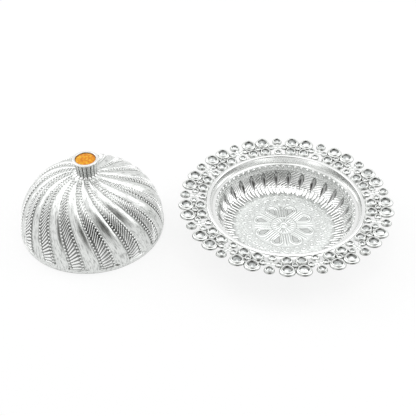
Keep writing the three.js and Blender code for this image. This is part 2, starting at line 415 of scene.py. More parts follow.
def make_floor():
    """White paper. What the camera sees glows a little, so that the shadow on it stays faint."""
    floor = primitive("studio_floor", bpy.ops.mesh.primitive_plane_add, size=FLOOR_SIZE)
    paper, tree = new_material("matt white paper")
    full = add_node(tree, "ShaderNodeBsdfDiffuse", {"Color": linear("#F2F2F2")})
    half = add_node(tree, "ShaderNodeBsdfDiffuse", {"Color": linear("#8A8A8A")})
    light = add_node(tree, "ShaderNodeEmission", {"Color": linear("#FFFFFF"), "Strength": FLOOR_GLOW})
    white = add_node(tree, "ShaderNodeAddShader", {0: half.outputs[0], 1: light.outputs[0]})
    mix = glow_for_view(tree, white.outputs[0], full.outputs[0])
    add_node(tree, "ShaderNodeOutputMaterial", {"Surface": mix})
    floor.data.materials.append(paper)
    return floor


studio_floor = make_floor()
print("floor made")

# %% Dark hood
HOOD_RADIUS = 1.6
HOOD_RISE = math.radians(38)
HOOD_TURN = math.radians(10)
HOOD_HALF_WIDTH = math.radians(52)
HOOD_HALF_HEIGHT = math.radians(40)
HOOD_SHADES = [
    (0.0, "#535250"), (0.4, "#666563"), (0.7, "#A8A9A7"), (1.0, "#FFFFFF"),
]


def hood_share(tree):
    """0 at the middle of the hood and 1 at its edge, from the angles seen from the box."""
    axes = add_node(tree, "ShaderNodeSeparateXYZ", {"Vector": object_place(tree)}).outputs
    turn = calc(tree, "ARCTAN2", axes["X"], calc(tree, "MULTIPLY", axes["Y"], -1.0))
    rise = calc(tree, "ARCSINE", calc(tree, "DIVIDE", axes["Z"], HOOD_RADIUS))
    wide = calc(tree, "DIVIDE", calc(tree, "SUBTRACT", turn, HOOD_TURN), HOOD_HALF_WIDTH)
    high = calc(tree, "DIVIDE", calc(tree, "SUBTRACT", rise, HOOD_RISE), HOOD_HALF_HEIGHT)
    pair = add_node(tree, "ShaderNodeCombineXYZ", {"X": wide, "Y": high})
    reach = add_node(tree, "ShaderNodeVectorMath", {0: pair.outputs[0]}, operation="LENGTH")
    return reach.outputs["Value"]


def make_hood():
    """Part of a ball round the box, on the camera's side, which lights nothing and hides nothing."""
    hood = primitive("studio_hood", bpy.ops.mesh.primitive_uv_sphere_add,
                     segments=64, ring_count=32, radius=HOOD_RADIUS)
    begin_edit(hood)
    pick_faces(hood, lambda centre, normal: centre.y > 0.1 or centre.z < 0)
    bpy.ops.mesh.delete(type="FACE")
    end_edit()
    cloth, tree = new_material("dark studio cloth")
    colour = ramp(tree, hood_share(tree), [(at, linear(code)) for at, code in HOOD_SHADES])
    shade_of_cloth = add_node(tree, "ShaderNodeEmission", {"Color": colour})
    add_node(tree, "ShaderNodeOutputMaterial", {"Surface": shade_of_cloth.outputs[0]})
    hood.data.materials.append(cloth)
    hood.visible_camera = False
    hood.visible_shadow = False
    hood.visible_diffuse = False
    return hood


studio_hood = make_hood()
print("hood made")

# %% Room and lamps
ROOM_LIGHT = 0.55
LAMPS = {
    "top_lamp": {"place": (0.12, 0.02, 1.35), "size": 1.25, "watts": 4.2},
    "side_lamp": {"place": (-1.05, 0.55, 0.9), "size": 1.05, "watts": 4.0},
    "right_lamp": {"place": (1.1, 0.2, 0.75), "size": 0.85, "watts": 2.6},
}

world = bpy.data.worlds.new("white room")
bpy.context.scene.world = world
room = new_tree(world)
dim = add_node(room, "ShaderNodeBackground", {"Color": linear("#FFFFFF"), "Strength": ROOM_LIGHT})
bright = add_node(room, "ShaderNodeBackground", {"Color": linear("#FFFFFF"), "Strength": 1})
room_mix = glow_for_view(room, bright.outputs[0], dim.outputs[0])
add_node(room, "ShaderNodeOutputWorld", {"Surface": room_mix})


def add_lamp(name, place, size, watts):
    lamp = primitive(name, bpy.ops.object.light_add, type="AREA", location=place)
    lamp.data.size = size
    lamp.data.energy = watts
    lamp.rotation_euler = (CAMERA_AIM - Vector(place)).to_track_quat("-Z", "Y").to_euler()


for lamp_name, facts in LAMPS.items():
    add_lamp(lamp_name, **facts)
print("lamps:", list(LAMPS))

# %% [markdown]
# ## Finishes
#
# The castings are plated in bright silver. One recipe paints shade into the colour: it mixes a pale
# and a grey silver by how open a point is, so hollows get painted shade, and a fine grain breaks up
# the gloss. Darker shade is painted into grooves and gaps: each shape writes where it lies. The
# recipe also adds random dark spots to the brushed lid. The stones are clear glass over foil.

# %% Plated silver
# Colour of the shade painted into grooves and gaps, and of the random dark spots on the brushed lid.
SHADE_AND_SPOT_COLOUR = "#242421"
CLOUD_MM = 12
DEEP_AND_OPEN = (0.25, 0.8)
SPOT_RANGE = (0.48, 0.68)


def plated_silver(name, open_colour, occluded_shade_colour, gloss, dull, deep_mm, grain_mm, grain_rise_mm,
                  brushed=False, mottle=0.0):
    """Silver plating over a casting, with painted shade: grey in hollows and dark in grooves."""
    material, tree = new_material(name)
    place = object_place(tree)
    strokes = add_node(tree, "ShaderNodeAttribute", attribute_name="brush").outputs["Vector"]
    grain = noise(tree, strokes if brushed else place, grain_mm, 3, 0.6)
    # Painted shade: the colour turns grey where nearby surfaces hem a point in.
    openness = add_node(tree, "ShaderNodeAmbientOcclusion", {"Distance": deep_mm * MM},
                        samples=6, only_local=True)
    shades = zip(DEEP_AND_OPEN, (linear(occluded_shade_colour), linear(open_colour)))
    occlusion_shaded = ramp(tree, openness.outputs["AO"], list(shades))
    # The dark shade that each shape has painted into its grooves and gaps.
    painted_shade = add_node(tree, "ShaderNodeAttribute", attribute_name="painted_shade").outputs["Fac"]
    spots_and_painted_shade = calc(tree, "MAXIMUM", rescaled(tree, grain, SPOT_RANGE, (0, mottle)), painted_shade)
    colour = add_node(tree, "ShaderNodeMix", {0: spots_and_painted_shade, 6: occlusion_shaded, 7: linear(SHADE_AND_SPOT_COLOUR)}, data_type="RGBA")
    bump = add_node(tree, "ShaderNodeBump", {
        "Height": grain, "Strength": 1, "Distance": grain_rise_mm * MM,
    })
    end_material(tree, {
        "Base Color": colour.outputs[2],
        "Metallic": 1,
        "Roughness": rescaled(tree, noise(tree, place, CLOUD_MM, 2), (0.3, 0.7), (gloss, dull)),
        "Normal": bump.outputs["Normal"],
    })
    return material


buffed_silver = plated_silver("buffed silver plate", "#ECEDEC", "#9A9A96", 0.14, 0.2, 2, 0.5, 0.006)
brushed_silver = plated_silver(
    "brushed silver plate", "#E4E6E4", "#5A5A56", 0.22, 0.36, 1.6, 1.8, 0.1, True, 0.55,
)
floor_silver = plated_silver("soft silver plate", "#E8EBE9", "#9A9A96", 0.24, 0.32, 1.0, 0.5, 0.02)
bead_silver = plated_silver("polished silver beads", "#F4F5F4", "#B4B4AE", 0.18, 0.24, 0.6, 0.4, 0.006)
lace_silver = plated_silver("cast silver plate", "#E8EAE8", "#6A6A65", 0.2, 0.28, 1.4, 0.4, 0.008)
plated_finishes = [buffed_silver, brushed_silver, floor_silver, bead_silver, lace_silver]
print("plated finishes:", [finish.name for finish in plated_finishes])

# %% Glass stones and steel
def clear_stone():
    """Pyramid-cut clear glass over foil: nearly white, with hard small reflections."""
    material, tree = new_material("foiled clear glass")
    cloud = noise(tree, object_place(tree), 3, 1)
    end_material(tree, {
        "Base Color": ramp(tree, cloud, [(0.35, linear("#A6AAA9")), (0.65, linear("#E2E4E3"))]),
        "Metallic": 0.8, "Roughness": 0.06, "IOR": 1.52, "Coat Weight": 0.5, "Coat Roughness": 0.03,
    })
    return material


def amber_glass():
    """Amber glass over a crinkled foil: orange, with painted yellow glints of the foil."""
    material, tree = new_material("foiled amber glass")
    place = object_place(tree)
    crinkles_and_glints = add_node(tree, "ShaderNodeTexVoronoi", {"Vector": place, "Scale": 1 / (1.8 * MM)})
    blend = add_node(tree, "ShaderNodeMix", {
        0: 0.5, "A": crinkles_and_glints.outputs["Distance"], "B": noise(tree, place, 2.5, 3),
    })
    # The palest yellow stops are painted glints of the foil, spread at random; the orange ones are the
    # glass's colour.
    colour = ramp(tree, blend.outputs[0], [
        (0.22, linear("#FFF06A")), (0.36, linear("#FFC42A")), (0.52, linear("#FBA21A")),
        (0.64, linear("#E88A12")),
    ])
    bump = add_node(tree, "ShaderNodeBump", {
        "Height": crinkles_and_glints.outputs["Distance"], "Strength": 0.4, "Distance": 0.2 * MM,
    })
    end_material(tree, {
        "Base Color": colour, "Roughness": 0.3, "IOR": 1.54, "Specular IOR Level": 0.2,
        "Coat Weight": 0.08, "Coat Roughness": 0.08, "Normal": bump.outputs["Normal"],
    })
    return material


def turned_steel():
    """Turned steel, which tool marks leave a little uneven in gloss."""
    material, tree = new_material("turned steel")
    grain = noise(tree, object_place(tree), 0.6, 4)
    end_material(tree, {
        "Base Color": linear("#B6B9BB"), "Metallic": 1,
        "Roughness": rescaled(tree, grain, (0, 1), (0.25, 0.5)),
    })
    return material


stone_glass = clear_stone()
amber = amber_glass()
steel = turned_steel()
print("glass and steel:", stone_glass.name, amber.name, steel.name)


# %% Dressing helper
def dress(piece, material, body, slot_name, *nodes):
    """Gives a finished piece its finish and its body, and hides the plain solids that it stands for."""
    piece.data.materials.clear()
    piece.data.materials.append(material)
    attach(piece, body)
    if nodes:
        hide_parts(*nodes)
    return piece


print("dressing helper ready")

# %% [markdown]
# ## The dish
#
# The dish is one casting. Its outside is plain, and its inside runs from a flat floor up a fluted
# wall to a ledge for the lid, then up a plain steep lip. It is spun in fine steps, and then the
# flutes, the slanting lines between them and two fine rings above them are worked into the wall.

# %% Dish profile
LIP_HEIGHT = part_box("dish_bowl")[1].z / MM
SHELF_RADIUS = 68.6
WALL_FOOT = 44.6
LEDGE_HEIGHT = 23.3
LEDGE_INSIDE = 59.0
LEDGE_OUTSIDE = 61.8
LIP_INSIDE = 63.4
LIP_OUTSIDE = 65.6
BASE_RADIUS = 43.0
FLOOR_HEIGHT = 2.2
WALL_STEP = 0.36

wall_points = [
    (44.5, 2.7), (47.8, 3.7), (50.6, 5.3), (53.4, 8.1), (55.5, 11.3), (56.9, 15.1), (57.8, 18.6),
    (LEDGE_INSIDE, LEDGE_HEIGHT),
]
lip_points = [(LEDGE_OUTSIDE, LEDGE_HEIGHT), (62.3, 25.2), (62.9, 27.1), (LIP_INSIDE, 28.6)]
bead_points = [
    (LIP_INSIDE, 28.6), (63.8, 29.1), (64.5, LIP_HEIGHT), (65.4, 29.2), (66.2, 28.95), (66.6, 28.6),
]
shelf_points = [
    (66.8, 28.1), (SHELF_RADIUS - 0.2, 27.8), (SHELF_RADIUS, 27.4), (SHELF_RADIUS, 26.2),
]
outside_points = [
    (63.6, 21.6), (60.6, 17.9), (58.7, 14.6), (57.3, 10.9), (54.9, 6.9), (51.6, 3.6), (48.3, 2.0),
    (45.4, 0.9), (BASE_RADIUS, 0),
]
floor_points = [(0, FLOOR_HEIGHT - 0.5), (30, FLOOR_HEIGHT - 0.5), (43.5, 2.35), (44.5, 2.7)]
dish_profile = [
    *smooth_run(floor_points, 4)[:-1],
    *smooth_run(wall_points, WALL_STEP),
    *smooth_run(lip_points, 0.6)[:-1],
    *smooth_run(bead_points, 0.35),
    *shelf_points,
    *smooth_run(outside_points, 2.2),
    (0, 0),
]
print("dish profile:", len(dish_profile), "points")

# %% Fluted wall
FLUTE_COUNT = 30
FLUTE_PITCH = 360 / FLUTE_COUNT
FLUTE_FIRST = 9.5
FLUTE_LOW = 4.3
FLUTE_HIGH = 16.4
FLUTE_HALF_WIDTH = 2.6
FLUTE_DEPTH = 1.3
THINNEST_FLUTE = 0.05
OFF_FLUTE = 100
LATTICE_PITCH = 2.4
LATTICE_SLANT = 3
LATTICE_RISE = 0.35
LOWER_LINE = 17.2
UPPER_LINE = 22.8
# Shares of dark shade painted in the flutes, between the slanting lines and round the beads above.
FLUTE_PAINTED_SHADE = 0.56
VALLEY_PAINTED_SHADE = 0.32
UPPER_PAINTED_SHADE = 0.16
FLUTE_STEPS = 24

wall_radii, wall_heights = np.array(wall_points).T
wall_steps = np.hypot(np.diff(wall_radii), np.diff(wall_heights))
wall_lengths = np.concatenate([[0], np.cumsum(wall_steps)])


def in_bowl(radius, normals):
    return (normals[:, 2] > 0.05) & (radius < LEDGE_INSIDE - 0.05) & (radius > WALL_FOOT)


def flute_share(radius, angle, height):
    """How far along a flute a point is, from its foot to its head, and how far across it."""
    aside = np.radians(off_centre(angle, FLUTE_FIRST, FLUTE_PITCH)) * radius
    share = np.clip((height - FLUTE_LOW) / (FLUTE_HIGH - FLUTE_LOW), 0, 1)
    half = FLUTE_HALF_WIDTH * np.abs(np.sin(np.pi * share ** 1.25)) ** 0.7
    across = np.abs(aside) / np.maximum(half, THINNEST_FLUTE)
    return share, np.where(half > THINNEST_FLUTE, across, OFF_FLUTE)


def past_flute(across):
    """0 on a flute and 1 beside it, from how far across it a point is."""
    return np.clip(3 * (across - 1), 0, 1)


def lattice_bumps(angle, height):
    """Lines from 0 to 1 high, which slant up the wall between the flutes."""
    along = np.interp(height, wall_heights, wall_lengths) / LATTICE_PITCH
    sideways = off_centre(angle, FLUTE_FIRST, FLUTE_PITCH) / FLUTE_PITCH * LATTICE_SLANT
    return np.cos(np.pi * (along + sideways)) ** 2


def wall_relief(radius, angle, height, normals):
    """Almond-shaped flutes round the wall, deepest near their heads, with slanting lines between."""
    share, across = flute_share(radius, angle, height)
    beside = window(height, FLUTE_LOW, FLUTE_HIGH, 0.6)
    hollow = -FLUTE_DEPTH * np.clip(1 - across ** 2, 0, 1) * (0.35 + 0.65 * share) * beside
    edge = 0.12 * ridge(across - 1, 0.25) * beside
    lattice = LATTICE_RISE * (lattice_bumps(angle, height) - 0.3) * window(height, 4.0, 16.8, 1)
    ring = 0.25 * ridge(height - LOWER_LINE, 0.3) + 0.15 * ridge(height - UPPER_LINE, 0.3)
    whole = hollow + edge + lattice * past_flute(across) + ring
    return np.where(in_bowl(radius, normals), whole, 0)


def wall_painted_shade(radius, angle, height):
    """Painted shade in the flutes, between the slanting lines and round the beads above them."""
    across = flute_share(radius, angle, height)[1]
    flutes = FLUTE_PAINTED_SHADE * np.clip(6 * (1 - across), 0, 1) * window(height, FLUTE_LOW, FLUTE_HIGH, 1)
    valleys = VALLEY_PAINTED_SHADE * np.clip(1 - 1.5 * lattice_bumps(angle, height), 0, 1)
    valleys = valleys * past_flute(across) * window(height, 5.5, FLUTE_HIGH, 1)
    above = UPPER_PAINTED_SHADE * window(height, 17.4, 22.6, 0.6)
    inside = height > np.interp(radius, wall_radii, wall_heights) - 0.5
    on_wall = inside & (radius > WALL_FOOT) & (radius < LEDGE_INSIDE)
    return np.where(on_wall, flutes + valleys + above, 0)


dish_body = spun("dish_body", dish_profile, FLUTE_STEPS, FLUTE_COUNT)
paint_shade(dish_body, wall_painted_shade(*around(points_of(dish_body))))
emboss(dish_body, wall_relief)
shade(dish_body, 50)
dress(dish_body, buffed_silver, "dish", "silver_plate", "dish_bowl")
print("dish body:", len(dish_body.data.polygons), "faces")

# %% [markdown]
# ## The floor's relief
#
# The floor is cast with an eight-petal flower round a ribbed rosette, in two rings of leafy scrolls.
# These are shallow rounded lines, so the floor is a fine disc of its own, and each line is a ridge
# along the distance from a curve.

# %% Floor flower
PETAL_COUNT = 8
PETAL_PITCH = 360 / PETAL_COUNT
GAP_FIRST = 3.0
PETAL_FIRST = GAP_FIRST + PETAL_PITCH / 2
GAP_TURN = math.radians(PETAL_PITCH / 2)
GAP_HALF = 3.1
GAP_LINE = 1.0
PETAL_END_MIDDLE = 21.0
PETAL_END_RADIUS = PETAL_END_MIDDLE * math.sin(GAP_TURN) - GAP_HALF
PETAL_STEP = 1.6
ROSETTE_RADIUS = 10.4
ROSETTE_RIBS = 20
LEAF_COUNT = 24
LEAF_PITCH = 360 / LEAF_COUNT
LEAF_VEIN = 2.0
LEAF_RISE = 0.36
LEAF_CLEAN = 0.15
# Shares of dark shade painted on the floor: on the petals' beds, as shadow lines beside the raised lines,
# between the ribs and leaves, and at the edge.
BED_PAINTED_SHADE = 0.24
LINE_PAINTED_SHADOW = 0.45
RIB_PAINTED_SHADE = 0.4
LEAF_PAINTED_SHADE = 0.34
EDGE_PAINTED_SHADE = 0.3
FLOOR_EDGE = 44.3
FLOOR_STEPS = 20
FLOOR_SECTORS = 24


def petal_distance(aside, out):
    """Distance outside a petal: straight sides along the gaps, and a round end."""
    side = np.abs(aside) * math.cos(GAP_TURN) - out * math.sin(GAP_TURN) + GAP_HALF
    end = np.hypot(out - PETAL_END_MIDDLE, aside) - PETAL_END_RADIUS
    past = (out - PETAL_END_MIDDLE) * math.cos(GAP_TURN) + np.abs(aside) * math.sin(GAP_TURN) > 0
    return np.where(past, end, side)


def from_petals(radius, angle):
    """Distance outside the nearest petal, and distance from the middle of the nearest gap."""
    turn = np.radians(off_centre(angle, PETAL_FIRST, PETAL_PITCH))
    away = petal_distance(radius * np.sin(turn), radius * np.cos(turn))
    across = radius * np.abs(np.sin(np.radians(off_centre(angle, GAP_FIRST, PETAL_PITCH))))
    return away, across


def flower_relief(radius, angle):
    """Eight petals with a double outline, and two lines in each gap between them."""
    away, across = from_petals(radius, angle)
    outline = 0.55 * ridge(away, 0.5) + 0.45 * ridge(away + PETAL_STEP, 0.42)
    bed = -0.2 * window(-away, 2.2, 20, 0.5)
    lines = 0.45 * ridge(across - GAP_LINE, 0.42) * window(radius, 11, 25, 0.8)
    return (outline + bed) * window(radius, 11.2, 30, 0.5) + lines


def rosette_relief(radius, angle):
    """The ribbed rosette in the middle: two rings, twenty ribs and a small button."""
    ribs = 0.5 * np.cos(np.radians(angle) * ROSETTE_RIBS / 2) ** 2 * window(radius, 4, 8.6, 0.8)
    rings = 0.5 * ridge(radius - ROSETTE_RADIUS, 0.35) + 0.35 * ridge(radius - 9.0, 0.3)
    button = 0.45 * ridge(radius - 3, 0.4) + 0.4 * np.clip(1 - (radius / 2) ** 2, 0, 1)
    return ribs + rings + button


def leaf_relief(radius, angle):
    """Two rings of curling leaves with veins, which lean the opposite way round."""
    relief = 0
    for middle, way, first in ((31.2, 1, 0), (38.0, -1, LEAF_PITCH / 2)):
        lean = np.radians(off_centre(angle + way * 1.6 * (radius - middle), first, LEAF_PITCH))
        aside = lean * middle
        out = radius - middle
        reach = np.hypot(aside * 1.1, out)
        spiral = np.arctan2(out, way * aside) / TURN
        curl = np.cos(np.pi * (reach / LEAF_VEIN + spiral)) ** 2
        relief = relief + LEAF_RISE * curl * window(reach, -1, 4.2, 0.8)
        stem = ridge(np.abs(aside) - 4.6 - 0.5 * np.cos(out * 1.4), 0.5) * window(out, -3.6, 3.6, 0.8)
        relief = relief + LEAF_RISE * stem
    return relief * window(radius, 27.2, 42.2, 0.8)


def floor_relief(radius, angle, height, normals):
    whole = flower_relief(radius, angle) + rosette_relief(radius, angle) + leaf_relief(radius, angle)
    return np.where(normals[:, 2] > 0.5, whole, 0)


floor_profile = [
    (0, FLOOR_HEIGHT - 0.9), (FLOOR_EDGE - 1, FLOOR_HEIGHT - 0.9), (FLOOR_EDGE, FLOOR_HEIGHT + 0.1),
    *smooth_run([(FLOOR_EDGE, 2.6), (40, 2.36), (20, 2.22), (0, FLOOR_HEIGHT)], 0.42),
]


def floor_painted_shade(radius, angle, height):
    """Painted shade on the petals' beds, beside the raised lines and between the strokes at the edge."""
    away, across = from_petals(radius, angle)
    on_flower = window(radius, 11.3, 30, 0.5)
    beds = BED_PAINTED_SHADE * window(-away, 2.0, 20, 0.5) * on_flower
    outlines = ridge(np.abs(away) - 1.0, 0.35) + ridge(away + PETAL_STEP + 0.9, 0.3)
    outlines = outlines + ridge(across - 0.25, 0.3) * window(radius, 11, 25, 0.8)
    rings = ridge(radius - ROSETTE_RADIUS - 0.8, 0.35) + ridge(radius - 3.8, 0.35)
    lines = LINE_PAINTED_SHADOW * (outlines * on_flower + rings)
    ribs = RIB_PAINTED_SHADE * np.sin(np.radians(angle) * ROSETTE_RIBS / 2) ** 4 * window(radius, 4, 8.6, 0.8)
    low = np.clip(1 - leaf_relief(radius, angle) / LEAF_CLEAN, 0, 1)
    leaves = LEAF_PAINTED_SHADE * low * window(radius, 27.6, 42.2, 0.8)
    return beds + lines + ribs + leaves + EDGE_PAINTED_SHADE * window(radius, 42.5, 60, 1)


dish_floor = spun("dish_floor", floor_profile, FLOOR_STEPS, FLOOR_SECTORS)
paint_shade(dish_floor, floor_painted_shade(*around(points_of(dish_floor))))
emboss(dish_floor, floor_relief)
shade(dish_floor, 60)
dress(dish_floor, floor_silver, "dish", "silver_plate")
print("dish floor:", len(dish_floor.data.polygons), "faces")

# %% [markdown]
# ## Beads and strokes of the dish
#
# Round the wall runs a row of small leaning ticks with a row of pearls above it, and round the
# floor a sunburst of slender strokes. All are one grain shape, a small ball drawn long, so the
# grain is modelled once.

# %% Grain
def make_grain():
    """A ball of 1 mm radius with few faces, from which beads and strokes are drawn out."""
    grain = primitive("grain_model", bpy.ops.mesh.primitive_uv_sphere_add,
                      segments=8, ring_count=6, radius=MM)
    bpy.ops.object.shade_smooth()
    return grain


def spread(point, across, up, sizes, tilt=0.0):
    """Places a grain at a point, drawn out by sizes along the wall, across it and off it."""
    up = up.normalized()
    across = (across - across.project(up)).normalized()
    across.rotate(Matrix.Rotation(tilt, 3, up))
    along = up.cross(across)
    turn = Matrix((across, along, up)).transposed().to_4x4()
    return Matrix.Translation(point) @ turn @ Matrix.Diagonal((*sizes, 1))


def on_circle(radius, height, degrees):
    angle = math.radians(degrees)
    return Vector((radius * math.cos(angle), radius * math.sin(angle), height)) * MM


grain = make_grain()
print("grain faces:", len(grain.data.polygons))

# %% Bead row and strokes
TICK_COUNT = 150
PEARL_COUNT = 66
STROKE_COUNT = 90


def wall_grains(count, low, high, half_width, rise, tilt=0.0, first=0.0, shifts=(0,)):
    """Places of grains round the wall, each drawn out from one profile point to another."""
    places = []
    middle = (Vector((*low, 0)) + Vector((*high, 0))) / 2
    slope = Vector((*high, 0)) - Vector((*low, 0))
    for at in range(count):
        degrees = first + 360 * at / count
        centre = middle + slope.normalized() * shifts[at % len(shifts)]
        spoke = on_circle(1, 0, degrees).normalized()
        side = Vector((-spoke.y, spoke.x, 0))
        up = Vector((-spoke.x * slope.y, -spoke.y * slope.y, slope.x))
        sizes = (half_width, slope.length / 2, rise)
        places.append(spread(on_circle(centre.x, centre.y, degrees), side, up, sizes, tilt))
    return places


ticks = wall_grains(TICK_COUNT, (57.6, 17.5), (58.1, 19.6), 0.75, 0.42, 0.3)
pearls = wall_grains(PEARL_COUNT, (58.1, 19.7), (58.85, 22.7), 1.9, 0.85)
tick_row = copies("bead_row", grain, ticks + pearls)
dress(tick_row, bead_silver, "dish", "silver_plate")
stroke_row = copies("floor_strokes", grain, wall_grains(
    STROKE_COUNT, (42.4, 2.4), (51.8, 6.3), 1.2, 0.75, 0.1, FLUTE_FIRST, (-1.8, 0.9, 0.9),
))
dress(stroke_row, bead_silver, "dish", "silver_plate")
print("ticks, pearls and strokes:", TICK_COUNT, PEARL_COUNT, STROKE_COUNT)

# %% [markdown]
# ## The lace rim
#
# The rim is a lace of cast rings, each a flared foot with a raised wall round a cut stone. Rings of
# six sizes make a four-petal flower and a cross, and 13 of these repeats fill the way round. The
# rim rises a little outwards, so each ring leans with it.

# %% Lace layout
LACE_REPEATS = 13
LACE_FIRST = -144.2
LACE_TILT = math.radians(5.5)
LACE_FOOT = 27.4
OVERLAP = 0.16
RINGS = {
    "large_outer": {"foot": 6.6, "top": 4.95, "rise": 2.75},
    "large_inner": {"foot": 5.4, "top": 4.15, "rise": 2.35},
    "small_outer": {"foot": 4.4, "top": 3.4, "rise": 2.35},
    "small_inner": {"foot": 3.6, "top": 2.8, "rise": 2.05},
    "cross_end": {"foot": 3.0, "top": 2.35, "rise": 1.95},
    "flower_eye": {"foot": 2.9, "top": 2.2, "rise": 1.85},
}
INNER_ROW = 71.75
SMALL_INNER_ROW = 70.06
OUTER_ROW = INNER_ROW + RINGS["large_inner"]["foot"] + RINGS["large_outer"]["foot"] - OVERLAP
SMALL_OUTER_ROW = OUTER_ROW + 1.2
CROSS_ROW = INNER_ROW + 0.46 * (OUTER_ROW - INNER_ROW)
LARGE_REACH = RINGS["large_outer"]["foot"] - OVERLAP
EYE_ROW = OUTER_ROW - math.sqrt((LARGE_REACH + RINGS["flower_eye"]["foot"]) ** 2 - LARGE_REACH ** 2)
OUTER_TURN = math.degrees(math.asin(LARGE_REACH / OUTER_ROW))
INNER_TURN = OUTER_TURN * 1.05
CROSS_REACH = LARGE_REACH + RINGS["cross_end"]["foot"]
CROSS_TURN = OUTER_TURN + math.degrees(math.acos(
    (OUTER_ROW ** 2 + CROSS_ROW ** 2 - CROSS_REACH ** 2) / (2 * OUTER_ROW * CROSS_ROW)
))
REPEAT_TURN = 360 / LACE_REPEATS
STEM_TURN = REPEAT_TURN / 2
motif_layout = [
    ("large_outer", OUTER_ROW, -OUTER_TURN),
    ("large_outer", OUTER_ROW, OUTER_TURN),
    ("small_outer", SMALL_OUTER_ROW, STEM_TURN),
    ("large_inner", INNER_ROW, -INNER_TURN),
    ("large_inner", INNER_ROW, INNER_TURN),
    ("small_inner", SMALL_INNER_ROW, STEM_TURN),
    ("flower_eye", EYE_ROW, 0),
    ("cross_end", CROSS_ROW, CROSS_TURN),
    ("cross_end", CROSS_ROW, REPEAT_TURN - CROSS_TURN),
]


def lace_height(radius):
    return LACE_FOOT + math.tan(LACE_TILT) * (radius - LIP_OUTSIDE)


def lace_place(radius, degrees, lift=0.0):
    """A place on the rim, turned outwards and leaning with it."""
    turn = Matrix.Rotation(math.radians(degrees), 4, "Z")
    lean = Matrix.Rotation(-LACE_TILT, 4, "Y")
    return turn @ Matrix.Translation((radius * MM, 0, (lace_height(radius) + lift) * MM)) @ lean


print("lace repeat:", len(motif_layout), "rings")

# %% Ring model
RING_SIDES = 28
FOOT_EDGE = 1.25
FOOT_LEAN = 0.62
THINNEST_RING_WALL = 0.65
RING_WALL_SHARE = 0.2
CUP_SHARE = 0.94
SEAT_LIFT = 1.0
# Shares of dark shade painted at the bottom of each cup, up its inner wall and down its outer edge.
SEAT_PAINTED_SHADE = 0.85
CUP_PAINTED_SHADE = 0.35
RING_EDGE_PAINTED_SHADE = 0.3


def disc(name, sides, radius):
    """A flat disc round the origin, from which a ring or a stone is raised."""
    return primitive(name, bpy.ops.mesh.primitive_circle_add,
                     vertices=sides, radius=radius * MM, fill_type="NGON")


def grow(radius_share, rise):
    """Extrudes what is selected up by a rise, and scales it about the ring's axis."""
    bpy.ops.mesh.extrude_region_move(TRANSFORM_OT_translate={"value": (0, 0, rise * MM)})
    bpy.ops.transform.resize(value=(radius_share, radius_share, 1), center_override=(0, 0, 0))


def raise_facets(facets, rise):
    """Raises a stone's facets, each with its share of the radius below and of the whole rise."""
    for radius_share, rise_share in facets:
        grow(radius_share, rise * rise_share)


def ring_mouth(top):
    """Radius of a ring's mouth: the wall round it is thicker on the larger rings."""
    return top - max(THINNEST_RING_WALL, RING_WALL_SHARE * top)


def ring_painted_shade(radius, height, top):
    """Painted shade inside a ring's cup, most at its bottom, and a little down its outer edge."""
    inside = radius < ring_mouth(top) + 0.05
    cup = np.where(height < SEAT_LIFT + 0.1, SEAT_PAINTED_SHADE, CUP_PAINTED_SHADE)
    return np.where(inside, cup, RING_EDGE_PAINTED_SHADE * (height < FOOT_EDGE + 0.05))


def make_ring(name, foot, top, rise):
    """A ring of the lace: a low edge, a flare, a raised wall and the sloping cup inside it."""
    ring = disc(name, RING_SIDES, foot)
    begin_edit(ring)
    radius = foot
    height = 0
    mouth = ring_mouth(top)
    steps = [
        (foot, 0.15), (foot - FOOT_LEAN, FOOT_EDGE), (foot - FOOT_LEAN - 0.2, FOOT_EDGE + 0.1),
        (top + 0.5, FOOT_EDGE + 0.3), (top + 0.15, FOOT_EDGE + 0.6), (top, rise - 0.2),
        (top - 0.15, rise), (mouth + 0.15, rise), (mouth, rise - 0.15),
        (mouth * CUP_SHARE, SEAT_LIFT),
    ]
    for next_radius, next_height in steps:
        grow(next_radius / radius, next_height - height)
        radius = next_radius
        height = next_height
    end_closed()
    shade(ring, 40)
    radii, _, heights = around(points_of(ring))
    paint_shade(ring, ring_painted_shade(radii, heights, top))
    return ring


ring_models = {name: make_ring(name + "_model", **size) for name, size in RINGS.items()}
print("ring models:", list(ring_models))

# %% Links of the cross
LINK_HALF = 1.15
LINK_RISE = 0.55


def make_link():
    """A short cast bar, rounded on top, 2 mm long before it is drawn out."""
    link = primitive("link_model", bpy.ops.mesh.primitive_cube_add, size=2 * MM, location=(0, 0, MM))
    bpy.ops.object.transform_apply(location=True)
    begin_edit(link)
    pick_faces(link, lambda centre, normal: normal.z > 0.5)
    bpy.ops.mesh.inset(thickness=0.5 * MM)
    bpy.ops.transform.translate(value=(0, 0, 0.5 * MM))
    end_edit()
    return link


link_model = make_link()
cross_middle = CROSS_ROW * math.cos(math.radians(STEM_TURN - CROSS_TURN))
cross_half = CROSS_ROW * math.sin(math.radians(STEM_TURN - CROSS_TURN))
stem_half = (SMALL_OUTER_ROW - SMALL_INNER_ROW) / 2
link_sizes = [
    (SMALL_INNER_ROW + stem_half, (stem_half, LINK_HALF, LINK_RISE)),
    (cross_middle, (LINK_HALF, cross_half, LINK_RISE)),
]
print("cross:", round(cross_half, 2), "mm half width")

# %% Lace motifs
def make_motif(number):
    """One repeat of the lace: its rings, by size, and the links of its cross."""
    start = LACE_FIRST + number * REPEAT_TURN
    parts = []
    for size in RINGS:
        places = [lace_place(row, start + turn) for kind, row, turn in motif_layout if kind == size]
        parts.append(copies(size, ring_models[size], places))
    links = [
        lace_place(row, start + STEM_TURN, 0.1) @ Matrix.Diagonal((*sizes, 1)) for row, sizes in link_sizes
    ]
    parts.append(copies("links", link_model, links))
    return joined(f"lace_motif_{number + 1:02d}", parts)


